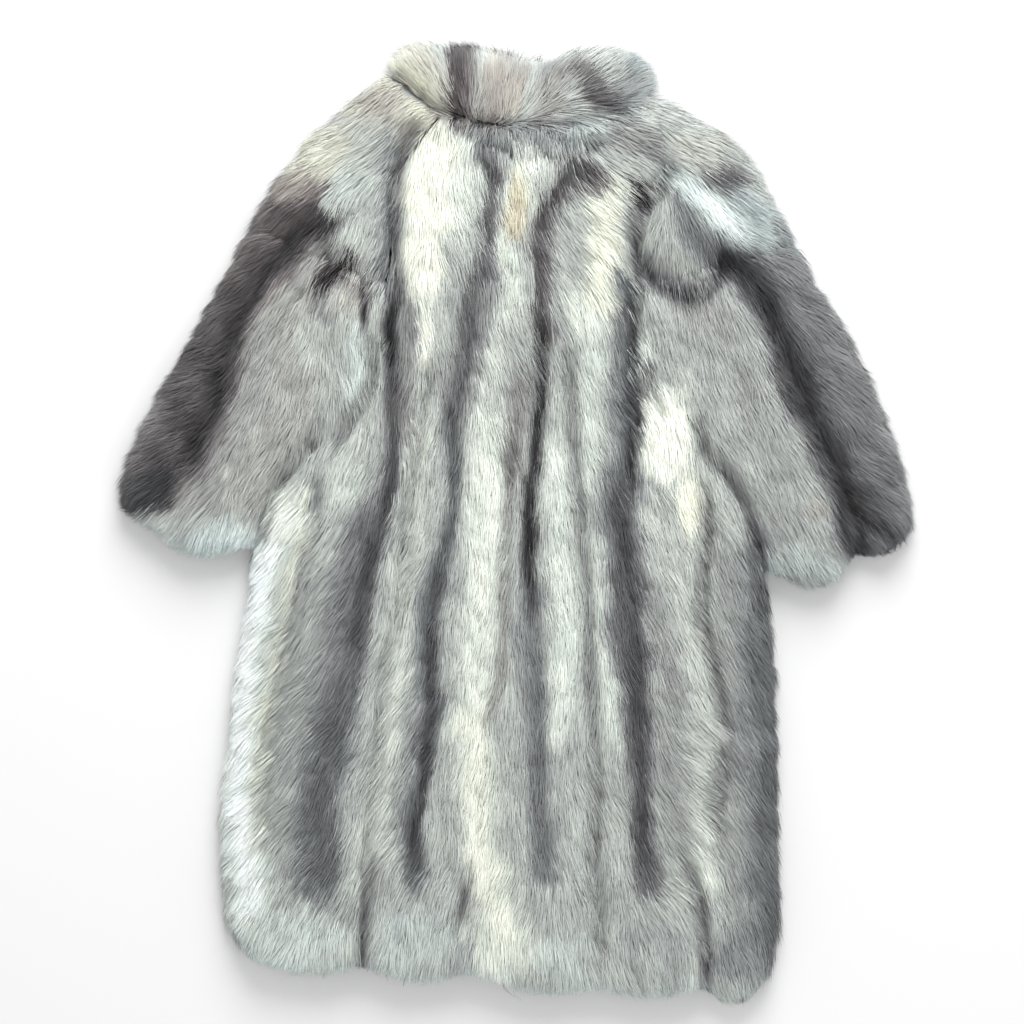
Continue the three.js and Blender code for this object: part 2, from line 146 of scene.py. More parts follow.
# %% Fur and pelt materials
FUR_SURFACE = {"Roughness": 0.62, "Specular IOR Level": 0.25, "Sheen Weight": 0.25, "Sheen Roughness": 0.4}
PELT_SURFACE = {"Roughness": 0.9, "Specular IOR Level": 0.15}
STRAND_SPREAD = 0.08  # how much single hairs differ in tone where the fur is mid grey
STRAND_LEAST = 0.02  # and where it is black or white
# TIP_SHADE sets painted shade: the root end darker, where the hairs shade each other.
TIP_SHADE = 0.08  # how much paler a tip is than its root
TONES = [
    (0.00, linear(18, 18, 19)),
    (0.22, linear(56, 56, 58)),
    (0.38, linear(97, 98, 100)),
    (0.55, linear(140, 142, 143)),
    (0.72, linear(182, 187, 184)),
    (0.88, linear(222, 230, 222)),
    (1.00, linear(252, 255, 248)),
]


def fur_material():
    material, tree, shader = new_material("fox_fur", FUR_SURFACE)
    read = lambda name: add_node(tree, "ShaderNodeAttribute", {"attribute_name": name}, output=2)
    tone, warm, strand, along = read("tone"), read("warm"), read("strand"), read("along")
    middling = tone * (1.0 - tone) * 4.0  # 1 in mid grey, 0 in black and white
    hair = (strand - 0.5) * (middling * STRAND_SPREAD + STRAND_LEAST)
    # Painted shade along each hair: darker at the root, where the hairs shade each other, paler at the tip.
    shade = (along - 0.45) * TIP_SHADE
    toned = (tone + hair + shade).clamped()
    ramp = add_node(tree, "ShaderNodeValToRGB", {"stops": TONES}, {0: toned})
    # Warm means brown in dark fur, rosy in grey fur and cream in pale fur.
    rosy = middling * middling
    red = warm * (rosy * 0.08 + 0.03) + 1.0
    green = 1.0 - warm * (rosy * 0.045 + 0.01)
    blue = 1.0 - warm * (tone * 0.12 + 0.03)
    tint = add_node(tree, "ShaderNodeCombineXYZ", None, {0: red, 1: green, 2: blue})
    colour = add_node(tree, "ShaderNodeVectorMath", {"operation": "MULTIPLY"}, {0: ramp, 1: tint})
    tree.links.new(colour.socket, shader.inputs["Base Color"])
    return material


def pelt_material():
    material, tree, shader = new_material("fox_pelt", PELT_SURFACE)
    place = add_node(tree, "ShaderNodeTexCoord", output=3)
    down = add_node(tree, "ShaderNodeTexNoise", None, {"Vector": place, "Scale": 900.0, "Detail": 4.0})
    patches = add_node(tree, "ShaderNodeTexNoise", None, {"Vector": place, "Scale": 22.0, "Detail": 3.0})
    tone = add_node(tree, "ShaderNodeAttribute", {"attribute_name": "tone"}, output=2)
    mixed = (tone * 0.92 + (down - 0.5) * 0.2 + (patches - 0.5) * 0.1 - 0.04).clamped()
    ramp = add_node(tree, "ShaderNodeValToRGB", {"stops": TONES}, {0: mixed})
    bump = add_node(tree, "ShaderNodeBump", None, {"Height": down, "Strength": 0.7, "Distance": 0.002})
    tree.links.new(ramp.socket, shader.inputs["Base Color"])
    tree.links.new(bump.socket, shader.inputs["Normal"])
    return material


FUR = fur_material()
PELT = pelt_material()
print("materials", FUR.name, PELT.name)

# %% [markdown]
# ## The pelts
#
# A pelt has its solid's form, but without the depth of the hair. It could be drawn again, but the solid
# already has the right edges, folds and lobes. So a copy of the solid is merged, lowered towards the surface
# that it lies on, drawn in at its sides and rounded by one subdivision.

# %% What each panel needs
LAYER = 0.0165  # the upper layer lies on the under layer from this height
# Columns: how much of the solid's thickness the pelt keeps, the cut's width and length, and the hair on it:
# length, rise at the root and at the tip in degrees, and the part of the coat that it is brushed with.
PANEL_COLUMNS = ("node", "keep", "width", "length", "hair", "rise", "lie", "part")
PANEL_ROWS = [
    ("back_skin_1", 0.56, 0.085, 0.63, 0.034, 36, 8, "body"),
    ("back_skin_2", 0.48, 0.150, 0.91, 0.036, 33, 7, "body"),
    ("back_skin_3", 0.48, 0.145, 1.09, 0.036, 33, 7, "body"),
    ("back_skin_4", 0.48, 0.155, 1.08, 0.036, 33, 7, "body"),
    ("back_skin_5", 0.48, 0.165, 1.13, 0.036, 33, 7, "body"),
    ("back_skin_6", 0.56, 0.100, 0.74, 0.034, 36, 8, "body"),
    ("front_left", 0.60, 0.330, 1.08, 0.030, 30, 5, "body"),
    ("front_right", 0.60, 0.255, 1.09, 0.030, 30, 5, "body"),
    ("neck_band", 0.50, 0.030, 0.240, 0.030, 60, 12, "body"),
    ("collar_left", 0.47, 0.105, 0.205, 0.036, 50, 12, "collar"),
    ("collar_right", 0.47, 0.105, 0.155, 0.036, 50, 12, "collar"),
    ("sleeve_left_cap", 0.56, 0.200, 0.260, 0.033, 34, 8, "left"),
    ("sleeve_left_outer", 0.58, 0.180, 0.440, 0.033, 34, 8, "left"),
    ("sleeve_left_inner", 0.45, 0.150, 0.400, 0.034, 34, 8, "left"),
    ("sleeve_left_under", 0.60, 0.180, 0.620, 0.030, 30, 5, "left"),
    ("sleeve_right_cap", 0.56, 0.180, 0.240, 0.033, 34, 8, "right"),
    ("sleeve_right_outer", 0.58, 0.170, 0.450, 0.033, 34, 8, "right"),
    ("sleeve_right_inner", 0.45, 0.140, 0.440, 0.034, 34, 8, "right"),
    ("sleeve_right_under", 0.60, 0.160, 0.640, 0.030, 30, 5, "right"),
]
PANELS = [dict(zip(PANEL_COLUMNS, row)) for row in PANEL_ROWS]
SIDE_INSET = 0.009  # how far the pelt's free edges lie inside the solid's
SEAM_REACH = 0.008  # another panel nearer than this makes an edge a seam
PELT_LIFT = 0.0012  # how far a pelt lies above what carries it
SAME_POINT = 1e-5  # the solids' points nearer than this are one
FACING_UP = 0.3  # a normal with more than this upwards belongs to a pelt's upper side
FACING_SIDE = 0.3
BURIED = ("front_left", "front_right", "sleeve_left_under", "sleeve_right_under")
ON_FLOOR = BURIED + (
    "back_skin_1", "back_skin_6", "collar_left", "collar_right",
    "sleeve_left_cap", "sleeve_left_outer", "sleeve_right_cap", "sleeve_right_outer",
)


# %% Copy a solid and draw it in
def deselect():
    if bpy.context.object and bpy.context.object.mode != "OBJECT":
        bpy.ops.object.mode_set(mode="OBJECT")
    bpy.ops.object.select_all(action="DESELECT")


def of_vertices(mesh, what):
    flat = np.empty(3 * len(mesh.vertices))
    mesh.vertices.foreach_get(what, flat)
    return flat.reshape(-1, 3)


def add_values(mesh, name, values):
    """One number for each vertex, which the material reads by its name."""
    layer = mesh.attributes.new(name, "FLOAT", "POINT")
    layer.data.foreach_set("value", values.astype(np.float32))


def solids_tree():
    """All the solids' faces in one tree for looking things up, and the node that owns each face."""
    corners, faces, owners = [], [], []
    for name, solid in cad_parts.items():
        first = len(corners)
        corners += [tuple(vertex.co) for vertex in solid.data.vertices]
        faces += [tuple(first + i for i in polygon.vertices) for polygon in solid.data.polygons]
        owners += [name] * len(solid.data.polygons)
    return BVHTree.FromPolygons(corners, faces), owners


SOLIDS, OWNERS = solids_tree()


def is_free(place, node, reach):
    """Whether no other panel's solid comes within reach of a place."""
    near = SOLIDS.find_nearest_range(Vector(place), reach)
    return all(OWNERS[index] == node for _, _, index, _ in near)


def make_pelt(panel):
    """The leather and underfur of one panel, of the solid's form and thinner."""
    node = panel["node"]
    piece = bpy.data.objects.new(f"pelt_{node}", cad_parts[node].data.copy())
    bpy.context.scene.collection.objects.link(piece)
    deselect()
    piece.select_set(True)
    bpy.context.view_layer.objects.active = piece
    bpy.ops.object.mode_set(mode="EDIT")
    bpy.ops.mesh.select_all(action="SELECT")
    bpy.ops.mesh.remove_doubles(threshold=SAME_POINT)
    bpy.ops.object.mode_set(mode="OBJECT")
    base = 0.0 if node in ON_FLOOR else LAYER
    co = of_vertices(piece.data, "co")
    sideways = of_vertices(piece.data, "normal")
    sideways[:, 2] = 0.0
    for i in np.flatnonzero(np.abs(sideways).max(axis=1) > FACING_SIDE):
        if is_free(co[i], node, SEAM_REACH):
            co[i] -= sideways[i] * SIDE_INSET
    co[:, 2] = base + PELT_LIFT + (co[:, 2] - base) * panel["keep"]
    piece.data.vertices.foreach_set("co", co.ravel())
    bpy.ops.object.modifier_add(type="SUBSURF")
    piece.modifiers[-1].levels = 1
    piece.modifiers[-1].render_levels = 1
    bpy.ops.object.modifier_apply(modifier=piece.modifiers[-1].name)
    bpy.ops.object.shade_smooth()
    piece.data.materials.clear()
    piece.data.materials.append(PELT)
    return piece


PELTS = {panel["node"]: make_pelt(panel) for panel in PANELS}
print("pelts", len(PELTS), "faces", sum(len(p.data.polygons) for p in PELTS.values()))

# %% [markdown]
# ## Where the photo's places are
#
# The coat lies flat and the camera looks straight down on it, so a place in the photo is a place on the coat.
# Stripes and patches are listed by their places in the photo, 1024 dots wide, and turned into metres once.

# %% From a place in the photo to a place on the coat
PHOTO_DOT = 0.00125  # metres on the coat for one dot of the photo
PHOTO_ORIGIN = (516.0, 522.5)  # the dot that shows the frame's origin


def on_coat(dots):
    dots = np.asarray(dots, dtype=float)
    return (dots - PHOTO_ORIGIN) * (PHOTO_DOT, -PHOTO_DOT)


def to_line(points, dots, reach):
    """Distance and side of the points near a line's box, and which they are. The left side is below 0."""
    line = on_coat(dots)
    near = np.all((points > line.min(axis=0) - reach) & (points < line.max(axis=0) + reach), axis=1)
    close = points[near]
    distance = np.full(len(close), np.inf)
    side = np.zeros(len(close))
    for a, b in zip(line[:-1], line[1:]):
        t = np.clip(((close - a) @ (b - a)) / ((b - a) @ (b - a)), 0, 1)
        offset = close - (a + t[:, None] * (b - a))
        length = np.hypot(offset[:, 0], offset[:, 1])
        closer = length < distance
        distance = np.where(closer, length, distance)
        side = np.where(closer, (b - a)[0] * offset[:, 1] - (b - a)[1] * offset[:, 0], side)
    return distance, side, near


def soft_step(x):
    x = np.clip(x, 0, 1)
    return x * x * (3 - 2 * x)


def wander(points, size, seed):
    """A smooth random number from about -1 to 1 that changes over a distance of size."""
    draw = np.random.default_rng(seed)
    total = np.zeros(len(points))
    waves = 7
    for _ in range(waves):
        angle = draw.uniform(0, 2 * math.pi)
        pitch = size * draw.uniform(0.7, 1.5)
        phase = draw.uniform(0, 2 * math.pi)
        across = points @ np.array([math.cos(angle), math.sin(angle)])
        total += np.sin(across / pitch * 2 * math.pi + phase)
    return total / math.sqrt(waves)


# %% [markdown]
# ## Tones of the fur
#
# Each row is a stripe along a line of places, or a patch round one place. Its tone is 0 for black and 1 for
# white, and warm is above 0 for brown, rosy or cream and below 0 for bluish. Rows further down lie over the
# rows before them. Left and right are how far a stripe fades out on each side, in dots, for a line that runs
# down the photo.

# %% Stripes and patches
STRIPE_COLUMNS = ("left", "right", "tone", "warm", "strength", "dots")
STRIPES = [
    # the body, from its left edge to its right edge
    (30, 30, 1.00, -0.4, 1.0, [(262, 560), (250, 600), (243, 650), (238, 720), (234, 790), (238, 850),
                               (250, 905)]),
    (10, 12, 0.93, 0.5, 0.8, [(306, 490), (298, 545), (285, 605), (274, 660), (262, 720), (254, 800),
                              (258, 850)]),
    (34, 40, 0.66, 0.0, 0.9, [(316, 600), (304, 680), (290, 760), (288, 840), (300, 880)]),
    (12, 10, 0.36, 0.1, 0.9, [(388, 300), (391, 350), (393, 410), (392, 460), (385, 505), (378, 535)]),
    (46, 16, 0.41, -0.1, 1.0, [(378, 530), (368, 570), (360, 615), (357, 645), (348, 695), (336, 735)]),
    (40, 26, 0.39, -0.2, 1.0, [(340, 725), (329, 770), (321, 810), (318, 850), (323, 880)]),
    (16, 16, 0.84, 0.2, 1.0, [(410, 380), (424, 440), (416, 500), (409, 560), (402, 620)]),
    (18, 18, 0.87, 0.1, 1.0, [(402, 620), (392, 680), (386, 740), (378, 800), (368, 850)]),
    (20, 20, 0.54, 0.2, 0.9, [(408, 300), (410, 345), (405, 385), (400, 430)]),
    (18, 30, 0.50, 0.1, 0.9, [(484, 280), (472, 315), (468, 345), (463, 372), (453, 392), (451, 425)]),
    (16, 12, 0.52, -0.2, 1.0, [(452, 420), (449, 450), (455, 488), (451, 525), (445, 555), (435, 590)]),
    (30, 14, 0.44, -0.2, 1.0, [(436, 585), (430, 625), (429, 665), (434, 704), (428, 750)]),
    (28, 14, 0.44, -0.2, 1.0, [(428, 745), (421, 795), (414, 835), (415, 862), (420, 880)]),
    (28, 28, 0.92, 0.1, 1.0, [(492, 430), (482, 500), (486, 560), (480, 620), (477, 680), (468, 730)]),
    (24, 36, 0.94, 0.3, 1.0, [(468, 730), (473, 800), (478, 860), (486, 900), (500, 940)]),
    (10, 10, 0.70, 0.4, 0.7, [(512, 430), (506, 500), (502, 574), (504, 628), (498, 690), (488, 720)]),
    (18, 10, 0.52, 0.3, 0.9, [(528, 380), (520, 420), (518, 450), (514, 480)]),
    (10, 8, 0.32, 0.1, 1.0, [(541, 340), (542, 380), (537, 445), (531, 500), (529, 560), (531, 605)]),
    (28, 18, 0.56, -0.1, 1.0, [(531, 600), (529, 640), (535, 672), (539, 710), (539, 760)]),
    (18, 22, 0.52, -0.1, 1.0, [(539, 755), (537, 800), (540, 840), (545, 880)]),
    (24, 22, 0.89, 0.0, 1.0, [(556, 460), (558, 530), (564, 580), (567, 640), (562, 690), (560, 730)]),
    (20, 34, 0.74, 0.0, 0.9, [(566, 760), (566, 820), (570, 870)]),
    (24, 40, 0.86, 0.0, 0.9, [(600, 560), (606, 620), (608, 680), (612, 740)]),
    (34, 26, 0.38, -0.1, 1.0, [(626, 485), (619, 520), (625, 560), (631, 592), (628, 635), (634, 665)]),
    (20, 24, 0.39, 0.1, 1.0, [(634, 660), (637, 710), (638, 760), (641, 810), (644, 860), (647, 885)]),
    (30, 16, 0.79, 0.1, 1.0, [(668, 530), (686, 600), (700, 660), (708, 710), (706, 760), (698, 830)]),
    (24, 24, 0.62, 0.1, 0.8, [(664, 620), (672, 700), (676, 780), (680, 850)]),
    (10, 26, 0.64, 0.1, 0.9, [(722, 560), (722, 640), (732, 720), (732, 800), (726, 900)]),
    (52, 40, 0.41, -0.2, 1.0, [(774, 560), (774, 640), (776, 720), (778, 800), (782, 880), (776, 950)]),
    (9, 9, 0.92, 0.1, 1.0, [(716, 822), (710, 850), (704, 885), (702, 905)]),
    # the upper back
    (14, 12, 0.50, -0.2, 0.9, [(384, 140), (387, 190), (384, 240), (384, 290)]),
    (10, 18, 0.36, 0.1, 1.0, [(480, 150), (492, 188), (491, 225), (487, 258), (474, 284)]),
    (16, 16, 0.85, 0.1, 1.0, [(504, 240), (513, 275), (512, 310), (501, 345), (491, 385), (486, 420)]),
    (22, 22, 0.95, 0.1, 1.0, [(533, 134), (530, 160), (524, 186), (519, 206)]),
    (12, 14, 0.82, 1.6, 1.0, [(521, 188), (517, 212), (512, 234)]),
    (24, 26, 0.94, 0.5, 1.0, [(612, 190), (606, 230), (604, 280), (597, 330)]),
    (20, 22, 0.86, 0.0, 1.0, [(597, 330), (594, 380), (590, 430), (590, 480)]),
    (10, 26, 0.27, 0.5, 1.0, [(598, 178), (580, 175), (565, 183), (552, 201), (542, 221), (537, 241)]),
    (9, 22, 0.34, 0.5, 1.0, [(537, 240), (540, 262), (543, 285), (537, 308), (541, 335)]),
    (9, 9, 0.93, 0.1, 1.0, [(580, 290), (576, 312), (574, 336)]),
    (26, 6, 0.44, -0.3, 1.0, [(634, 290), (631, 380), (632, 450), (628, 480)]),
    (8, 10, 0.92, -0.1, 1.0, [(643, 328), (642, 355), (641, 380)]),
    (9, 8, 0.44, 0.2, 0.9, [(652, 372), (642, 398), (637, 430)]),
    # the left sleeve
    (40, 50, 0.69, 0.3, 1.0, [(300, 260), (284, 320), (300, 360), (280, 420), (250, 470), (225, 530)]),
    (40, 24, 0.62, 0.2, 0.8, [(262, 350), (240, 410), (216, 460), (200, 500)]),
    (14, 14, 0.86, -0.3, 0.9, [(352, 340), (360, 380), (350, 410)]),
    (100, 26, 0.34, 0.9, 1.0, [(306, 222), (288, 252), (262, 286), (243, 311), (226, 342), (219, 370)]),
    (100, 30, 0.32, 0.6, 1.0, [(219, 368), (211, 412), (193, 447), (172, 480), (150, 500)]),
    (12, 12, 0.24, 0.4, 0.8, [(300, 232), (262, 286), (226, 342), (217, 390), (205, 430), (186, 460)]),
    (11, 11, 0.44, 0.1, 1.0, [(352, 205), (348, 218), (336, 229), (312, 228)]),
    (12, 10, 0.40, 0.3, 0.9, [(312, 236), (320, 252), (330, 266)]),
    # the near-black stripe below is painted shadow in the fold above the sleeve's lobe
    (15, 14, 0.02, 1.5, 1.0, [(347, 266), (335, 273), (327, 282), (318, 294)]),
    (5, 5, 0.50, 0.8, 0.8, [(338, 280), (350, 281), (361, 292), (365, 305), (362, 324)]),
    (14, 10, 0.54, 0.1, 0.8, [(322, 300), (318, 316), (326, 326)]),
    # the right sleeve
    (50, 44, 0.67, 0.1, 1.0, [(690, 320), (735, 330), (752, 400), (780, 480), (800, 560)]),
    (60, 70, 0.47, 0.0, 1.0, [(772, 262), (815, 330), (855, 410), (884, 480), (890, 540)]),
    (26, 30, 0.30, 0.1, 1.0, [(732, 262), (750, 284), (765, 305), (779, 335), (790, 371), (800, 398)]),
    (26, 34, 0.30, 0.1, 1.0, [(800, 396), (815, 430), (832, 465), (846, 495), (851, 525), (853, 548)]),
    (18, 28, 0.27, 0.1, 1.0, [(862, 500), (872, 525), (886, 540)]),
    (14, 12, 0.52, 0.3, 0.8, [(690, 302), (700, 312), (706, 322)]),
    (44, 44, 0.71, 0.1, 1.0, [(668, 225), (676, 262)]),
    (24, 24, 0.49, -0.1, 1.0, [(684, 208), (694, 234), (708, 256)]),
    (14, 14, 0.34, -0.1, 1.0, [(722, 240), (728, 252), (730, 264)]),
    (24, 34, 0.94, -0.5, 1.0, [(672, 170), (690, 183), (704, 200), (716, 214), (728, 226), (738, 236)]),
    (24, 26, 0.74, -0.6, 0.9, [(746, 204), (762, 218), (772, 240)]),
    (24, 22, 0.36, 0.2, 1.0, [(714, 183), (724, 184), (734, 182)]),
    # the collar and the neck
    (20, 22, 0.56, -0.2, 0.9, [(470, 136), (540, 140), (600, 136)]),
    (14, 20, 0.82, -0.3, 0.8, [(575, 140), (600, 132), (618, 124)]),
    (30, 26, 0.58, 0.2, 0.8, [(628, 136), (650, 150), (680, 160)]),
    (60, 56, 0.79, 0.9, 1.0, [(400, 60), (410, 85), (424, 110)]),
    (5, 38, 0.31, 1.0, 1.0, [(451, 40), (450, 70), (447, 90), (448, 112)]),
    (22, 24, 0.67, 0.8, 1.0, [(500, 50), (498, 90), (492, 118)]),
    (14, 14, 0.67, 0.9, 1.0, [(530, 56), (518, 78), (514, 112)]),
    (18, 24, 0.62, 0.4, 0.9, [(556, 60), (552, 90), (548, 118)]),
    (18, 20, 0.34, 0.4, 1.0, [(580, 66), (592, 76), (600, 92), (612, 104)]),
    (20, 30, 0.58, -0.2, 0.9, [(634, 60), (636, 90), (628, 112)]),
]
PATCH_COLUMNS = ("x", "y", "half_x", "half_y", "tone", "warm", "strength")
PATCHES = [
    # the upper back
    (437, 194, 46, 68, 0.99, 0.3, 1.0),
    (424, 268, 30, 56, 0.97, 0.3, 1.0),
    (463, 200, 17, 54, 0.88, 0.0, 0.8),
    (427, 338, 9, 50, 0.94, 0.2, 1.0),
    (668, 442, 31, 62, 1.00, 0.15, 1.0),
    (691, 512, 19, 42, 1.00, 0.5, 1.0),
    (284, 520, 30, 36, 0.96, 0.0, 0.9),
    (345, 480, 26, 44, 0.81, 0.0, 0.9),
    # the left sleeve
    (318, 160, 50, 40, 0.81, 0.7, 1.0),
    (288, 192, 34, 22, 0.64, 0.9, 0.9),
    (366, 104, 40, 26, 0.74, 0.8, 0.9),
    (350, 186, 26, 34, 0.82, -0.1, 0.9),
    (351, 246, 14, 22, 0.84, 0.0, 0.9),
    (318, 230, 25, 18, 0.22, 0.4, 1.0),
    (348, 302, 17, 18, 0.74, 0.5, 0.9),
    (332, 193, 18, 16, 0.80, -0.2, 0.9),
    (308, 350, 26, 40, 0.78, 0.1, 0.8),
    (222, 542, 44, 24, 0.83, -0.5, 0.9),
    (146, 494, 30, 28, 0.26, -0.1, 1.0),
    # the right sleeve
    (704, 152, 40, 24, 0.75, 0.3, 1.0),
    (643, 195, 9, 13, 0.06, 0.8, 1.0),
    (800, 568, 44, 22, 0.74, -0.3, 0.9),
    (816, 514, 14, 14, 0.62, 0.8, 0.8),
    # the lobes at the hem
    (300, 942, 62, 34, 0.86, -0.3, 0.8),
    (416, 942, 52, 34, 0.80, -0.3, 0.8),
    (500, 948, 44, 40, 0.92, 0.2, 0.9),
    (566, 960, 40, 34, 0.80, -0.2, 0.8),
    (650, 955, 52, 40, 0.69, -0.1, 0.8),
    (736, 960, 36, 34, 0.56, -0.1, 0.9),
    (345, 925, 22, 10, 0.56, 0.0, 0.7),
    # the small dark patch below is painted shade on the left side of the pale middle lobe
    (466, 955, 12, 10, 0.56, -0.3, 0.7),
]
GROUND = (0.73, 0.05)  # tone and warmth where no row says otherwise
STRAY = 0.004  # how far the edges of stripes and patches wander
STRIPE_CORE = 0.15  # the share of a stripe's half width that has its full tone
PATCH_CORE = 0.55


def tone_at(points):
    """Tone and warmth of the fur at points of the coat, seen from above."""
    tone = np.full(len(points), GROUND[0])
    warm = np.full(len(points), GROUND[1])
    strayed = points + STRAY * np.stack([wander(points, 0.05, 41), wander(points, 0.05, 42)], axis=1)
    for row in STRIPES:
        stripe = dict(zip(STRIPE_COLUMNS, row))
        widest = max(stripe["left"], stripe["right"]) * PHOTO_DOT
        distance, side, near = to_line(strayed, stripe["dots"], widest)
        fade = np.where(side < 0, stripe["left"], stripe["right"]) * PHOTO_DOT
        weight = stripe["strength"] * (1 - soft_step((distance / fade - STRIPE_CORE) / (1 - STRIPE_CORE)))
        tone[near] += (stripe["tone"] - tone[near]) * weight
        warm[near] += (stripe["warm"] - warm[near]) * weight
    for row in PATCHES:
        patch = dict(zip(PATCH_COLUMNS, row))
        offset = strayed - on_coat((patch["x"], patch["y"]))
        offset /= (patch["half_x"] * PHOTO_DOT, patch["half_y"] * PHOTO_DOT)
        reach = np.hypot(offset[:, 0], offset[:, 1])
        weight = patch["strength"] * (1 - soft_step((reach - PATCH_CORE) / (1 - PATCH_CORE)))
        tone += (patch["tone"] - tone) * weight
        warm += (patch["warm"] - warm) * weight
    return tone, warm


# %% [markdown]
# ## Creases
#
# Pelts roll in at their seams and fold where the coat is loose. Each crease sinks the pelt and its hair along
# a line, tilts them on both sides, and darkens the bottom with painted shade, where the parted fur lies in
# shadow. Its half width is in dots.

# %% Creases along lines of the photo
# The dark column is how much shade is painted along a crease's bottom.
CREASE_COLUMNS = ("depth", "half", "dark", "dots")
CREASES = [
    # the armholes and the neck
    (0.009, 10, 0.30, [(410, 132), (402, 160), (397, 190), (395, 225), (394, 262), (400, 290), (390, 324),
                       (391, 365)]),
    (0.009, 9, 0.42, [(670, 172), (656, 191), (647, 206), (637, 221), (634, 240)]),
    (0.009, 8, 0.40, [(634, 240), (636, 258), (639, 277), (635, 308), (634, 340)]),
    (0.009, 11, 0.28, [(634, 340), (632, 380), (633, 420), (633, 447), (629, 475)]),
    (0.004, 6, 0.24, [(560, 149), (580, 147), (604, 144)]),
    (0.003, 5, 0.16, [(496, 154), (508, 153), (520, 149)]),
    # the body
    (0.006, 10, 0.10, [(316, 490), (312, 530), (302, 585), (289, 645), (277, 700), (262, 765), (260, 830)]),
    (0.007, 12, 0.11, [(392, 365), (394, 410), (392, 465), (384, 515), (372, 555), (361, 600), (359, 640)]),
    (0.006, 10, 0.12, [(428, 375), (421, 420), (412, 480), (405, 550), (400, 612), (384, 668), (380, 740)]),
    (0.006, 9, 0.14, [(380, 740), (374, 800), (366, 850), (367, 880)]),
    (0.008, 7, 0.34, [(367, 880), (367, 900), (364, 925), (361, 962)]),
    (0.007, 12, 0.12, [(470, 310), (462, 375), (452, 425), (455, 488), (450, 530), (435, 590), (429, 660)]),
    (0.009, 9, 0.16, [(430, 670), (434, 705), (429, 750), (421, 795), (413, 836), (416, 866)]),
    (0.004, 8, 0.06, [(512, 430), (503, 560), (504, 628), (498, 690), (488, 718)]),
    (0.009, 10, 0.20, [(541, 335), (542, 380), (537, 445), (531, 500), (529, 560), (531, 615)]),
    (0.006, 12, 0.06, [(531, 615), (536, 675), (539, 740), (537, 800), (543, 860)]),
    (0.007, 9, 0.12, [(568, 360), (572, 440), (580, 520), (587, 590), (589, 660), (594, 740)]),
    (0.007, 9, 0.10, [(594, 740), (595, 800), (593, 860), (597, 900), (600, 945)]),
    (0.006, 14, 0.08, [(626, 490), (622, 540), (631, 592), (634, 665), (638, 760), (644, 860)]),
    (0.008, 9, 0.16, [(703, 495), (707, 525), (703, 566), (701, 620), (708, 650), (716, 690), (722, 725)]),
    (0.008, 8, 0.20, [(722, 760), (714, 810), (713, 828)]),
    (0.009, 9, 0.28, [(690, 870), (699, 902), (703, 930), (704, 952), (705, 986)]),
    (0.007, 8, 0.28, [(467, 880), (462, 906), (457, 922)]),
    # the left sleeve
    (0.007, 9, 0.18, [(374, 350), (372, 382), (351, 424), (337, 450)]),
    (0.007, 9, 0.16, [(318, 430), (304, 452), (285, 475), (268, 503), (260, 540)]),
    (0.006, 6, 0.42, [(338, 277), (351, 282), (362, 290), (367, 302), (364, 316), (364, 328)]),
    (0.008, 18, 0.04, [(300, 232), (262, 286), (226, 342), (215, 400), (190, 455)]),
    # the right sleeve
    (0.008, 13, 0.56, [(641, 262), (653, 281), (670, 291), (689, 296), (707, 290), (721, 274), (727, 258)]),
    (0.012, 20, 0.06, [(729, 262), (750, 284), (779, 335), (800, 398), (832, 465), (850, 520), (853, 552)]),
    (0.008, 9, 0.20, [(702, 430), (703, 455), (726, 472), (741, 493), (753, 527), (762, 566)]),
    (0.005, 8, 0.10, [(648, 380), (660, 420), (655, 400)]),
    # the collar
    (0.004, 6, 0.10, [(400, 76), (414, 90), (430, 106)]),
    (0.003, 7, 0.10, [(430, 108), (458, 117), (474, 124), (493, 125)]),
    (0.003, 7, 0.10, [(503, 128), (520, 124), (537, 125)]),
    (0.002, 7, 0.10, [(560, 128), (590, 122), (622, 113)]),
]
CREASE_SPAN = 1.6  # a crease ends at this many times its half width
SHADE_FALL = 2.4  # how fast the dark bottom fades out
DEPTH_FALL = 2.0  # how fast the sides of a crease rise
TILT_STEP = 0.002  # the slope is measured over twice this length


def creases_near(points):
    """Each crease, the points that it may reach, and their distance to its line in half widths."""
    for row in CREASES:
        crease = dict(zip(CREASE_COLUMNS, row))
        half = crease["half"] * PHOTO_DOT
        distance, _, near = to_line(points, crease["dots"], CREASE_SPAN * half)
        yield crease, near, distance / half


# Painted shade along the bottom of each crease, where the parted fur lies in shadow.
def painted_crease_shade(points):
    shade = np.zeros(len(points))
    for crease, near, reach in creases_near(points):
        shade[near] = np.maximum(shade[near], crease["dark"] * np.exp(-((SHADE_FALL * reach) ** 2)))
    return shade


def crease_depth(points):
    depth = np.zeros(len(points))
    for crease, near, reach in creases_near(points):
        depth[near] = np.maximum(depth[near], crease["depth"] * np.exp(-DEPTH_FALL * reach**2))
    return depth


def crease_tilt(points):
    """How much the creases tilt the fur at the points, as the slope along x and y."""
    slopes = [
        (crease_depth(points + shift) - crease_depth(points - shift)) / (2 * TILT_STEP)
        for shift in (np.array([TILT_STEP, 0.0]), np.array([0.0, TILT_STEP]))
    ]
    return np.stack(slopes, axis=1)


# The pelts' tone has the creases' painted shade taken off.
for pelt in PELTS.values():
    places = of_vertices(pelt.data, "co")[:, :2]
    add_values(pelt.data, "tone", tone_at(places)[0] - painted_crease_shade(places))
print("stripes", len(STRIPES), "patches", len(PATCHES))

# %% [markdown]
# ## Which way the hair lies
#
# Each row is one stroke of the brush: a place in the photo and the way the hair points there, in degrees from
# straight down, positive to the right. Between the strokes the directions blend. A slow random turn keeps
# neighbours alike and patches different, as brushed hair has it.

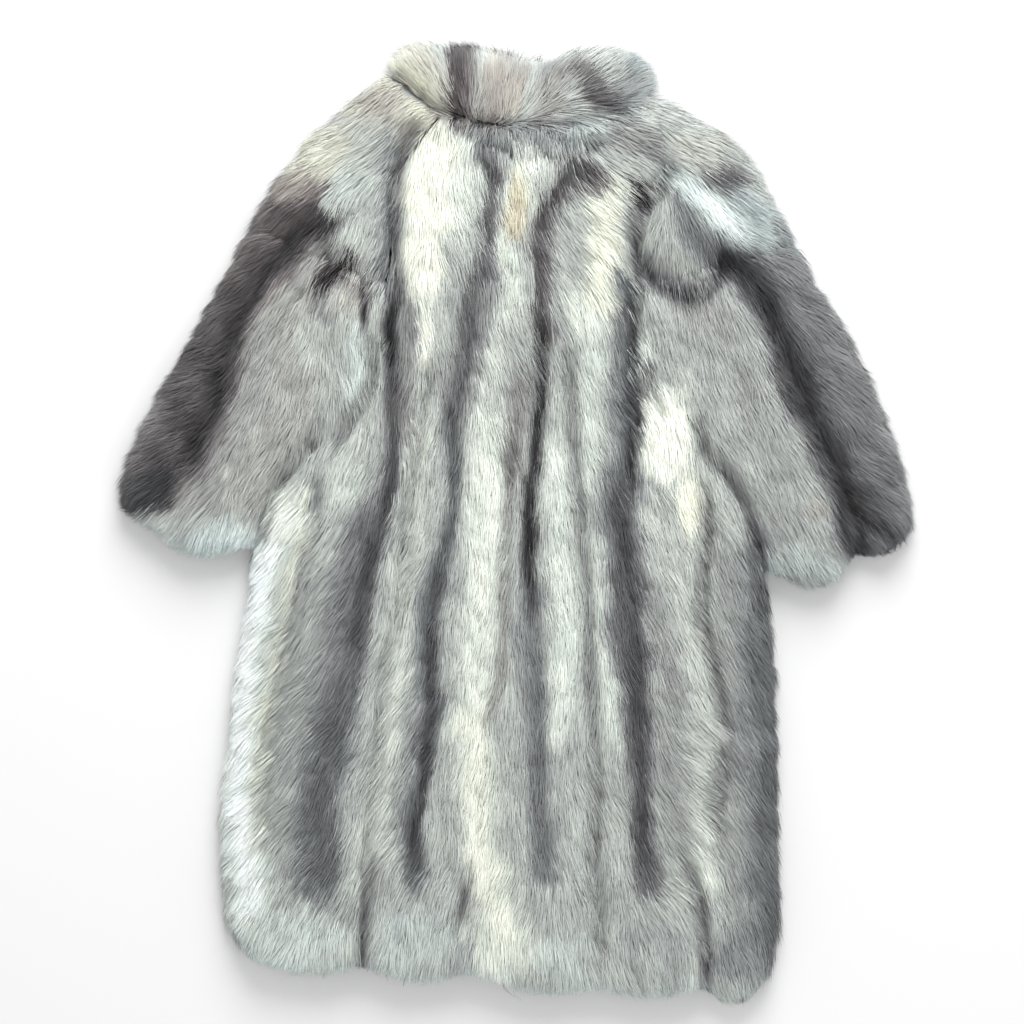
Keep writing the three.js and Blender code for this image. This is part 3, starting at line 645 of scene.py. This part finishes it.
# %% Strokes of the brush
BRUSH_COLUMNS = ("x", "y", "turn")
BRUSH = {
    "body": [
        (430, 160, -8), (402, 240, -2), (478, 180, 22), (470, 260, 14), (520, 180, 4), (512, 270, -10),
        (560, 235, 52), (600, 240, 38), (622, 300, 34), (590, 320, 12), (618, 400, 32), (505, 320, 28),
        (560, 400, 4), (480, 440, 0), (410, 330, -4), (400, 460, -12), (440, 560, -14), (480, 600, -6),
        (400, 600, -16), (345, 560, -30), (300, 520, -34), (255, 590, -52), (330, 660, -36),
        (245, 680, -54), (290, 740, -42), (300, 820, -40), (240, 820, -44), (355, 800, -10),
        (395, 760, -34), (395, 850, -34), (440, 800, 0), (490, 780, -8), (500, 880, -16), (530, 620, 0),
        (565, 620, 3), (545, 800, 6), (575, 820, 20), (610, 700, -4), (615, 850, 6), (640, 600, 16),
        (690, 640, 34), (690, 740, 46), (690, 830, 44), (660, 880, 30), (664, 430, 4), (690, 520, 20),
        (740, 600, 28), (755, 720, 32), (760, 840, 26), (755, 930, 12), (280, 900, -30), (260, 945, -34),
        (330, 940, 0), (420, 945, -10), (500, 960, 0), (580, 960, 8), (650, 960, 12), (735, 975, 8),
        (540, 137, 2), (480, 132, -14), (620, 132, 66), (655, 150, 60),
    ],
    "left": [
        (300, 150, -72), (350, 150, -56), (355, 210, -24), (320, 215, -40), (270, 230, -64),
        (235, 290, -70), (190, 360, -76), (150, 430, -78), (140, 490, -52), (190, 450, -56),
        (260, 320, -34), (300, 320, -16), (340, 250, -20), (345, 350, 6), (365, 390, 12), (290, 400, -16),
        (250, 440, -26), (240, 520, -14), (190, 510, -40), (220, 550, -20),
    ],
    "right": [
        (690, 140, 70), (740, 175, 78), (690, 180, 52), (755, 225, 68), (652, 235, -10), (676, 250, 0),
        (706, 246, 26), (664, 205, -16), (660, 310, 4), (700, 350, 20), (745, 340, 16), (735, 430, 22),
        (780, 500, 30), (790, 565, 16), (835, 550, 38), (800, 300, 66), (840, 370, 74), (875, 440, 74),
        (895, 500, 56), (885, 540, 26), (790, 350, 24), (825, 440, 26),
    ],
    "collar": [
        (400, 88, -128), (428, 70, -150), (425, 92, -140), (450, 100, -166), (465, 80, 172),
        (480, 103, 176), (515, 84, 179), (512, 105, 176), (552, 84, 160), (545, 105, 140), (580, 90, 120),
        (596, 66, 140), (620, 74, 118), (628, 96, 92), (412, 112, -50), (446, 124, -10), (480, 130, 0),
        (516, 132, 2), (550, 130, 14), (580, 124, 50), (606, 118, 70), (640, 108, 84),
    ],
}
BRUSH_REACH = 34 * PHOTO_DOT
SLOW_TURN = 0.13  # how far the flow turns at random, in radians


def flow_at(points, part):
    """The way the hair lies at points of one part, as a flat unit vector, and how far it stands up there."""
    along = np.zeros((len(points), 2))
    total = np.zeros(len(points))
    for row in BRUSH[part]:
        stroke = dict(zip(BRUSH_COLUMNS, row))
        offset = points - on_coat((stroke["x"], stroke["y"]))
        weight = 1 / (1 + (offset**2).sum(axis=1) / BRUSH_REACH**2) ** 2
        turn = math.radians(stroke["turn"])
        along += weight[:, None] * (math.sin(turn), -math.cos(turn))
        total += weight
    agreement = np.linalg.norm(along, axis=1)
    turn = SLOW_TURN * wander(points, 0.12, 3) + SLOW_TURN * wander(points, 0.04, 4)
    return turned(along / agreement[:, None], turn), 1 - soft_step(2 * agreement / total)


def turned(flat, angle):
    c, s = np.cos(angle), np.sin(angle)
    return np.stack([flat[:, 0] * c - flat[:, 1] * s, flat[:, 0] * s + flat[:, 1] * c], axis=1)


# %% [markdown]
# ## Where the coat ends
#
# The furrier trims the hair along the coat's edges, so no hair reaches far past the solids. A fine grid of
# rays from above says which cells of the floor the coat covers.

# %% Grid of the covered floor
CELL = 0.002
SEAM_CELLS = 4
GRID_MARGIN = 0.05
GRID_START = np.array(CAD_BOX[0][:2]) - GRID_MARGIN
GRID_SHAPE = np.ceil((np.array(CAD_BOX[1][:2]) + GRID_MARGIN - GRID_START) / CELL).astype(int)
ABOVE_ALL = 1.0  # the rays start here, above the coat


def covered_cells():
    cells = np.zeros(GRID_SHAPE, dtype=bool)
    down = Vector((0, 0, -1))
    for i in range(GRID_SHAPE[0]):
        x = GRID_START[0] + (i + 0.5) * CELL
        for j in range(GRID_SHAPE[1]):
            place = Vector((x, GRID_START[1] + (j + 0.5) * CELL, ABOVE_ALL))
            cells[i, j] = SOLIDS.ray_cast(place, down)[0] is not None
    return cells


def closed(cells, reach):
    """The cells with every gap narrower than twice the reach filled, so hair may cross a seam."""
    for grow_out in (True, False):
        for _ in range(reach):
            for axis in (0, 1):
                back, forth = np.roll(cells, -1, axis), np.roll(cells, 1, axis)
                cells = (cells | back | forth) if grow_out else (cells & back & forth)
    return cells


COVERED = closed(covered_cells(), SEAM_CELLS)
print("the coat covers", round(COVERED.sum() * CELL**2, 3), "square metres of the floor")


def covered(points):
    """Whether the coat lies below each point."""
    cell = np.clip(((points[:, :2] - GRID_START) / CELL).astype(int), 0, GRID_SHAPE - 1)
    return COVERED[cell[:, 0], cell[:, 1]]


# %% [markdown]
# ## Growing the hair
#
# Hundreds of thousands of hairs are too many to model by hand, so each is a small blade, and all the blades
# of a panel are made together from arrays. A hair rises from the pelt, bends over and lies along the flow.
# Hairs that start near each other lean together at their tips, which gives the fur its locks.

# %% Roots on a pelt
JOIN_REACH = 0.014  # the hair of two panels joins where their solids are nearer than this
JOIN_LIFT = 1.6  # how much of an upward vector is added to the normals there
JOIN_LOWEST = -0.3  # of the normals, only those that point up by more than this
JOIN_HIGHEST = 0.97  # and by less than this are turned
COVERED_REACH = 0.022  # a face with another panel nearer than this above it is covered
MOAT_REACH = 0.006  # the walls of a narrow seam carry no hair
NUDGE = 1e-4  # a ray goes on from this far behind a face
UNDERSIDE = -0.8  # a face whose normal points further down than this rests on something
WALL = 0.55  # a face whose normal points less far up than this may be the wall of a seam
THINNEST = 0.004  # no crease makes a pelt thinner than this


def unit(v):
    return v / np.maximum(np.linalg.norm(v, axis=1), 1e-9)[:, None]


def hidden(centre, normal, node, reach):
    """Whether another panel's solid lies within reach in front of a face."""
    start = Vector(centre)
    travelled = 0.0
    while travelled < reach:
        place, _, index, distance = SOLIDS.ray_cast(start, Vector(normal), reach - travelled)
        if place is None:
            return False
        if OWNERS[index] != node:
            return True
        travelled += distance + NUDGE
        start = place + Vector(normal) * NUDGE
    return False


def hair_normals(mesh, node):
    """The pelt's smooth normals, turned upwards at its seams, where the hair of two panels joins."""
    places, normals = of_vertices(mesh, "co"), of_vertices(mesh, "normal")
    upwards = normals[:, 2]
    for i in np.flatnonzero((upwards > JOIN_LOWEST) & (upwards < JOIN_HIGHEST)):
        if not is_free(places[i], node, JOIN_REACH):
            normals[i] += (0, 0, JOIN_LIFT)
    return unit(normals)


def triangles_of(piece, node):
    """The pelt's triangles that carry hair: corners, normals and areas."""
    mesh = piece.data
    mesh.calc_loop_triangles()
    index = np.empty(3 * len(mesh.loop_triangles), dtype=int)
    mesh.loop_triangles.foreach_get("vertices", index)
    index = index.reshape(-1, 3)
    corners = of_vertices(mesh, "co")[index]
    smooth = hair_normals(mesh, node)[index]
    cross = np.cross(corners[:, 1] - corners[:, 0], corners[:, 2] - corners[:, 0])
    area = np.linalg.norm(cross, axis=1) / 2
    face_normal = cross / (2 * area[:, None] + 1e-12)
    centre = corners.mean(axis=1)
    bears = face_normal[:, 2] > UNDERSIDE
    buried = node in BURIED
    reach = COVERED_REACH if buried else MOAT_REACH
    for i in np.flatnonzero(bears):
        if buried or face_normal[i, 2] < WALL:
            bears[i] = not hidden(centre[i], face_normal[i], node, reach)
    return corners[bears], smooth[bears], area[bears]


def sink_creases(piece, node):
    """Lowers a pelt's upper side along the creases, but not through its lower side."""
    base = 0.0 if node in ON_FLOOR else LAYER
    co = of_vertices(piece.data, "co")
    top = of_vertices(piece.data, "normal")[:, 2] > FACING_UP
    lowered = co[top, 2] - crease_depth(co[top, :2])
    co[top, 2] = np.maximum(lowered, np.minimum(co[top, 2], base + THINNEST))
    piece.data.vertices.foreach_set("co", co.ravel())
    piece.data.update()


SURFACES = {panel["node"]: triangles_of(PELTS[panel["node"]], panel["node"]) for panel in PANELS}
for panel in PANELS:
    sink_creases(PELTS[panel["node"]], panel["node"])
BEARING = sum(area.sum() for _, _, area in SURFACES.values())
print("area that bears hair", round(BEARING, 3), "square metres")


# %% Random places on a pelt
def roots_on(panel, count, draw):
    """Random places on the panel's pelt, with the pelt's smooth normal there."""
    corners, smooth, area = SURFACES[panel["node"]]
    face = draw.choice(len(area), size=count, p=area / area.sum())
    u, v = draw.random(count), draw.random(count)
    over = u + v > 1
    u[over], v[over] = 1 - u[over], 1 - v[over]
    weights = np.stack([1 - u - v, u, v], axis=1)[:, :, None]
    return (corners[face] * weights).sum(axis=1), unit((smooth[face] * weights).sum(axis=1))


# %% How long each hair is
UNDERHAIR = 0.35  # the share of short hairs
SLOW_LENGTH = 0.12  # how much the length differs from place to place
OVERHANG = 0.0035  # how far trimmed hair may reach past the coat's edge
SHORTEST = 0.008


def trimmed_lengths(start, along, length, draw):
    """Lengths that end the hair a little past the coat's edge."""
    kept = length.copy()
    for share in np.arange(1.0, 0.1, -0.1):
        outside = ~covered(start + share * length[:, None] * along)
        kept[outside] = share * length[outside]
    cut = kept < length
    kept[cut] += OVERHANG * draw.uniform(-1.0, 1.0, cut.sum())
    return np.clip(kept, np.minimum(SHORTEST, length), length)


def lengths_on(panel, root, along, draw):
    """How long each hair is, which hairs are short underhair, and which are trimmed at the coat's edge."""
    count = len(root)
    short = draw.random(count) < UNDERHAIR
    length = panel["hair"] * np.where(short, draw.uniform(0.5, 0.8, count), draw.uniform(0.8, 1.2, count))
    length *= 1 + SLOW_LENGTH * wander(root[:, :2], 0.03, 11)
    trimmed = trimmed_lengths(root, along, length, draw)
    return trimmed, short, trimmed < length


# %% How each hair rises, lies over and leans
OWN_RISE = 7  # how much single hairs differ in their rise at the root, in degrees
OWN_LIE = 5  # and at the tip
SLOW_RISE = 6  # how much the rise differs from place to place
PARTED_RISE = 30  # how much more hair rises where the strokes of the brush part
PARTED_LIE = 45
LOCK = 0.010  # size of a lock of hair
LEAN = 0.07  # how far the tips of a lock lean together


def angles_on(panel, root, upright, draw):
    """The angles at which each hair rises and lies over, worked out in degrees and given in radians."""
    count = len(root)
    rise = panel["rise"] + draw.normal(0, OWN_RISE, count) + SLOW_RISE * wander(root[:, :2], 0.03, 12)
    lie = panel["lie"] + draw.normal(0, OWN_LIE, count)
    return np.radians(rise + PARTED_RISE * upright), np.radians(lie + PARTED_LIE * upright)


def bent(start, along, normal, length, rise, lie):
    """The middle and the tip of each hair, which rises by one angle and lies over at another."""
    half = length[:, None] / 2
    bend = start + half * (np.cos(rise)[:, None] * along + np.sin(rise)[:, None] * normal)
    return bend, bend + half * (np.cos(lie)[:, None] * along + np.sin(lie)[:, None] * normal)


def lean_of(places):
    """How far the tips over these places lean towards the middle of their lock."""
    shifted = places + 0.5 * LOCK * np.stack([wander(places, 0.02, 21), wander(places, 0.02, 22)], axis=1)
    cell = np.floor(shifted / LOCK)
    jitter = np.abs(np.sin(cell @ np.array([[12.9898, 39.346], [78.233, 11.135]]) * 43.758)) % 1.0
    lean = np.zeros((len(places), 3))
    lean[:, :2] = ((cell + 0.2 + 0.6 * jitter) * LOCK - shifted) * LEAN
    return lean


# %% [markdown]
# ## One joined mesh a panel
#
# A real hair is round and far thinner than a dot of the photo. A blade of two triangles that is widest at
# its bend stands for a few hairs side by side, and costs least. The light on brushed fur follows the pelt and
# not the single hair, so every blade takes its normals from the pelt below it.

# %% Blades
WIDTH = 0.00082 * 1.0
UNDERHAIR_WIDTH = 1.25  # short hairs are wider, because they fill the gaps
OWN_ROLL = 0.25  # how far a blade is rolled about its own length, in radians
ROOT_DEPTH = 0.001


def blades(root, bend, tip, normal, along, short, draw):
    """Four points for each hair: its root, both sides of its bend, and its tip."""
    count = len(root)
    side = unit(np.cross(normal, along))
    roll = draw.normal(0, OWN_ROLL, count)[:, None]
    side = np.cos(roll) * side + np.sin(roll) * normal
    width = (WIDTH * np.where(short, UNDERHAIR_WIDTH, 1.0) * draw.uniform(0.7, 1.2, count))[:, None]
    rings = [root - ROOT_DEPTH * normal, bend - side * width / 2, bend + side * width / 2, tip]
    return np.stack(rings, axis=1).reshape(-1, 3)


def joined_mesh(name, points):
    """One mesh with two triangles for every four points."""
    count = len(points) // 4
    first = 4 * np.arange(count)[:, None]
    corners = np.concatenate([first + np.array([0, 1, 2]), first + np.array([1, 3, 2])], axis=1)
    mesh = bpy.data.meshes.new(name)
    mesh.vertices.add(len(points))
    mesh.vertices.foreach_set("co", points.ravel())
    mesh.loops.add(6 * count)
    mesh.loops.foreach_set("vertex_index", corners.ravel())
    mesh.polygons.add(2 * count)
    mesh.polygons.foreach_set("loop_start", 3 * np.arange(2 * count))
    mesh.update(calc_edges=True)
    return mesh


def map_hairs(mesh, count):
    """Each hair has its own small cell of the map, from its root at the bottom to its tip at the top."""
    across = math.ceil(math.sqrt(count))
    column, row = np.arange(count) % across, np.arange(count) // across
    cell_uv = np.array([[0.5, 0.1], [0.2, 0.5], [0.8, 0.5], [0.2, 0.5], [0.5, 0.9], [0.8, 0.5]])
    uv = (np.stack([column, row], axis=1)[:, None, :] + cell_uv[None]) / across
    layer = mesh.uv_layers.new(name="OFBake")
    layer.data.foreach_set("uv", uv.ravel())


# %% Light and tone on the blades
SLOPE_GAIN = 1.5  # hair stands off on both sides of a crease, so it shades more than the leather does
LIT_UPWARDS = 0.2  # the light on the hair is a little more even than on the pelt
LIT_SPREAD = 0.035
SCATTER_ALONG = 0.007  # how far up or down the flow a hair may take its tone from
SCATTER = 0.0025  # and how far in any direction
SLOW_TONE = 0.03
COOL_EDGE = 0.35  # trimmed hair shows its cooler underfur


def light_hairs(mesh, normal, top, middle, draw):
    """The eye sees brushed fur as one surface, so each hair is lit as the pelt below it is."""
    count = len(normal)
    tilt = np.zeros((count, 3))
    tilt[top, :2] = SLOPE_GAIN * crease_tilt(middle[top, :2])
    lit = unit(unit(normal + (0, 0, LIT_UPWARDS)) + tilt + draw.normal(0, LIT_SPREAD, (count, 3)))
    mesh.polygons.foreach_set("use_smooth", np.ones(2 * count, dtype=bool))
    mesh.normals_split_custom_set_from_vertices(np.repeat(lit, 4, axis=0))


def paint_hairs(mesh, root, bend, tip, flat, trimmed, draw):
    """The numbers that the material reads. The tone runs on along a hair, across the edge of a stripe."""
    count = len(root)
    scatter = draw.normal(0, SCATTER_ALONG, (count, 1)) * flat + draw.normal(0, SCATTER, (count, 2))
    tone, warm = tone_at((0.35 * bend + 0.65 * tip)[:, :2] + scatter)
    tone = tone + SLOW_TONE * wander(root[:, :2], 0.012, 31) + SLOW_TONE * wander(root[:, :2], 0.05, 32)
    warm = warm - COOL_EDGE * trimmed
    # painted shade of the creases, at the root, both sides of the bend and the tip
    painted_shades = np.stack([painted_crease_shade(place[:, :2]) for place in (root, bend, bend, tip)], axis=1)
    values = {
        "tone": np.clip(tone[:, None] - painted_shades, 0, 1).ravel(),
        "warm": np.repeat(warm, 4),
        "strand": np.repeat(draw.random(count), 4),
        "along": np.tile([0.0, 0.5, 0.5, 1.0], count),
    }
    for name, value in values.items():
        add_values(mesh, name, value)


# %% Hair on every panel
HAIRS = 430_000
MOST_ON_A_PANEL = 97_000
FEWEST_ON_A_PANEL = 100
FIRST_SEED = 100
OWN_TURN = 0.09  # how far a hair turns from its neighbours' way, in radians
BEND_LEAN = 0.35  # the share of a tip's lean that the bend has
LOWEST_ROOT = 0.001
LOWEST_POINT = 0.0006  # no bend or tip goes deeper, and some stay above this by up to the play
FLOOR_PLAY = 0.001


def grow(panel, count, seed):
    """Hair on one panel, as one mesh of bent blades."""
    draw = np.random.default_rng(seed)
    root, normal = roots_on(panel, count, draw)
    brushed, upright = flow_at(root[:, :2], panel["part"])
    flat = turned(brushed, draw.normal(0, OWN_TURN, count))
    flow = np.concatenate([flat, np.zeros((count, 1))], axis=1)
    along = unit(flow - (flow * normal).sum(axis=1)[:, None] * normal)
    length, short, trimmed = lengths_on(panel, root, along, draw)
    rise, lie = angles_on(panel, root, upright, draw)

    top = normal[:, 2] > FACING_UP
    root[top, 2] -= crease_depth(root[top, :2])
    root[:, 2] = np.maximum(root[:, 2], LOWEST_ROOT)
    bend, tip = bent(root - ROOT_DEPTH * normal, along, normal, length, rise, lie)
    lean = lean_of(root[:, :2])
    floor = LOWEST_POINT + FLOOR_PLAY * draw.random(count)
    for points, share in ((bend, BEND_LEAN), (tip, 1.0)):
        points += share * lean
        points[:, 2] = np.maximum(points[:, 2], floor)

    name = f"fur_{panel['node']}"
    mesh = joined_mesh(name, blades(root, bend, tip, normal, along, short, draw))
    light_hairs(mesh, normal, top, 0.5 * (bend + tip), draw)
    paint_hairs(mesh, root, bend, tip, flat, trimmed, draw)
    map_hairs(mesh, count)
    mesh.materials.append(FUR)
    piece = bpy.data.objects.new(name, mesh)
    bpy.context.scene.collection.objects.link(piece)
    return piece


HAIR = {}
for number, panel in enumerate(PANELS):
    bearing = SURFACES[panel["node"]][2].sum()
    count = min(int(HAIRS * bearing / BEARING), MOST_ON_A_PANEL)
    if count > FEWEST_ON_A_PANEL:
        HAIR[panel["node"]] = grow(panel, count, FIRST_SEED + number)
        print(panel["node"], "hairs", count, "tris", 2 * count)

# %% [markdown]
# ## The pieces on the coat's body
#
# Every piece rides on the coat's one body. A pelt stands for its solid, with its hair on it, and the solid is
# hidden. The flat area of each panel's cut is worked out from its pelt.


# %% Ride and replace
LEAST_SHARE = 0.31  # a cut fills at least this share of its width times its length


def cut_area(node, width, length):
    """Flat area of a panel's cut, from the two layers of its pelt, within its cut size."""
    layer = sum(polygon.area for polygon in PELTS[node].data.polygons) / 2
    return float(np.clip(layer, LEAST_SHARE * width * length, width * length))


for panel in PANELS:
    node = panel["node"]
    pieces = [kind[node] for kind in (PELTS, HAIR) if node in kind]
    for piece in pieces:
        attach(piece, "root")
        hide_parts(node)
    cut_area(node, panel["width"], panel["length"])
print("pieces", len(PELTS) + len(HAIR))

# %% [markdown]
# ## The studio
#
# The photo is a cut-out on white with a soft shadow below the coat, and its light is even and comes a little
# from above the collar. A wide pale floor, a big soft light, a weak second one and a bright sky give that.
# The camera looks straight down from four metres, where a long lens shows the coat almost flat.


# %% Floor
FLOOR_SURFACE = {"Base Color": linear(222, 222, 222), "Roughness": 0.9, "Specular IOR Level": 0.1}
FLOOR_SIZE = 12
FLOOR_DROP = 0.0005  # the floor lies this far below the surface that the coat rests on
deselect()
bpy.ops.mesh.primitive_plane_add(size=FLOOR_SIZE, location=(0, 0, -FLOOR_DROP))
floor = bpy.context.object
floor.name = "floor"
bpy.ops.object.transform_apply(location=True, rotation=True, scale=True)
floor.data.materials.append(new_material("pale_floor", FLOOR_SURFACE)[0])
print("floor", FLOOR_SIZE, "metres wide")

# %% Lights and sky
SKY_STRENGTH = 0.71


def area_light(name, place, size, power):
    light = bpy.data.lights.new(name, "AREA")
    light.shape = "DISK"
    light.size = size
    light.energy = power
    lamp = bpy.data.objects.new(name, light)
    lamp.location = place
    lamp.rotation_euler = (-Vector(place)).to_track_quat("-Z", "Y").to_euler()
    bpy.context.scene.collection.objects.link(lamp)


area_light("key", place=(0.35, 2.9, 2.1), size=2.6, power=150)
area_light("fill", place=(1.0, -1.6, 3.4), size=3.0, power=34)
world = bpy.data.worlds.new("sky")
world.use_nodes = True
sky = world.node_tree.nodes["Background"]
sky.inputs["Color"].default_value = (1, 1, 1, 1)
sky.inputs["Strength"].default_value = SKY_STRENGTH
bpy.context.scene.world = world
bpy.context.scene.view_settings.view_transform = "Standard"
bpy.context.scene.view_settings.look = "None"
print("sky", SKY_STRENGTH)

# %% Camera
CAMERA_HEIGHT = 4.0
MIDDLE_HEIGHT = 0.03  # the height on the coat that the photo's scale holds for
PHOTO_DOTS = 1024
FRAME_WIDTH = PHOTO_DOTS * PHOTO_DOT
centre = on_coat((PHOTO_DOTS / 2, PHOTO_DOTS / 2))
camera_data = bpy.data.cameras.new("camera")
camera_data.sensor_width = 36.0
camera_data.lens = camera_data.sensor_width * CAMERA_HEIGHT / FRAME_WIDTH
camera = bpy.data.objects.new("camera", camera_data)
camera.location = (centre[0], centre[1], CAMERA_HEIGHT + MIDDLE_HEIGHT)
bpy.context.scene.collection.objects.link(camera)
bpy.context.scene.camera = camera
print("lens", round(camera_data.lens, 1))
